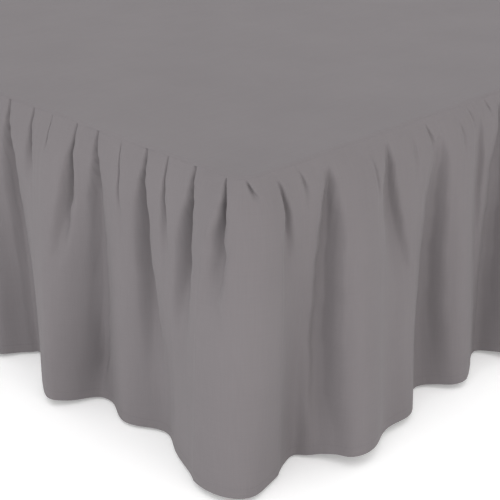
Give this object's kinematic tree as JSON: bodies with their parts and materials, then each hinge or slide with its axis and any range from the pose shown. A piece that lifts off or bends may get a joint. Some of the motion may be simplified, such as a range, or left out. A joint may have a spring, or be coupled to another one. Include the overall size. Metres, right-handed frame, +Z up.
{
  "type": "bed skirt on bed base",
  "caption": "Grey gathered bed skirt: a flat cloth platform on a plain upholstered bed base, with a floor-length gathered frill round the two sides and the foot.",
  "frame": {"origin": "on the floor at the middle of the whole object's footprint, the frill's folds included", "axes": "+Z up, +Y along the bed towards its head, +X across the bed; the foot of the bed is at -Y"},
  "size_m": [1.537, 1.984, 0.4],
  "materials": {
    "skirt_cloth": "warm grey plain-weave polycotton, soft and matt",
    "base_cloth": "cream woven divan cover, matt",
    "foot_wood": "dark stained wood, satin"
  },
  "bodies": {
    "root": {"platform": "skirt_cloth", "frill_strip_1": "skirt_cloth", "frill_strip_2": "skirt_cloth", "frill_strip_3": "skirt_cloth", "frill_strip_4": "skirt_cloth", "base_box": "base_cloth", "base_foot_1": "foot_wood", "base_foot_2": "foot_wood", "base_foot_3": "foot_wood", "base_foot_4": "foot_wood", "base_foot_5": "foot_wood", "base_foot_6": "foot_wood"}
  },
  "joints": []
}
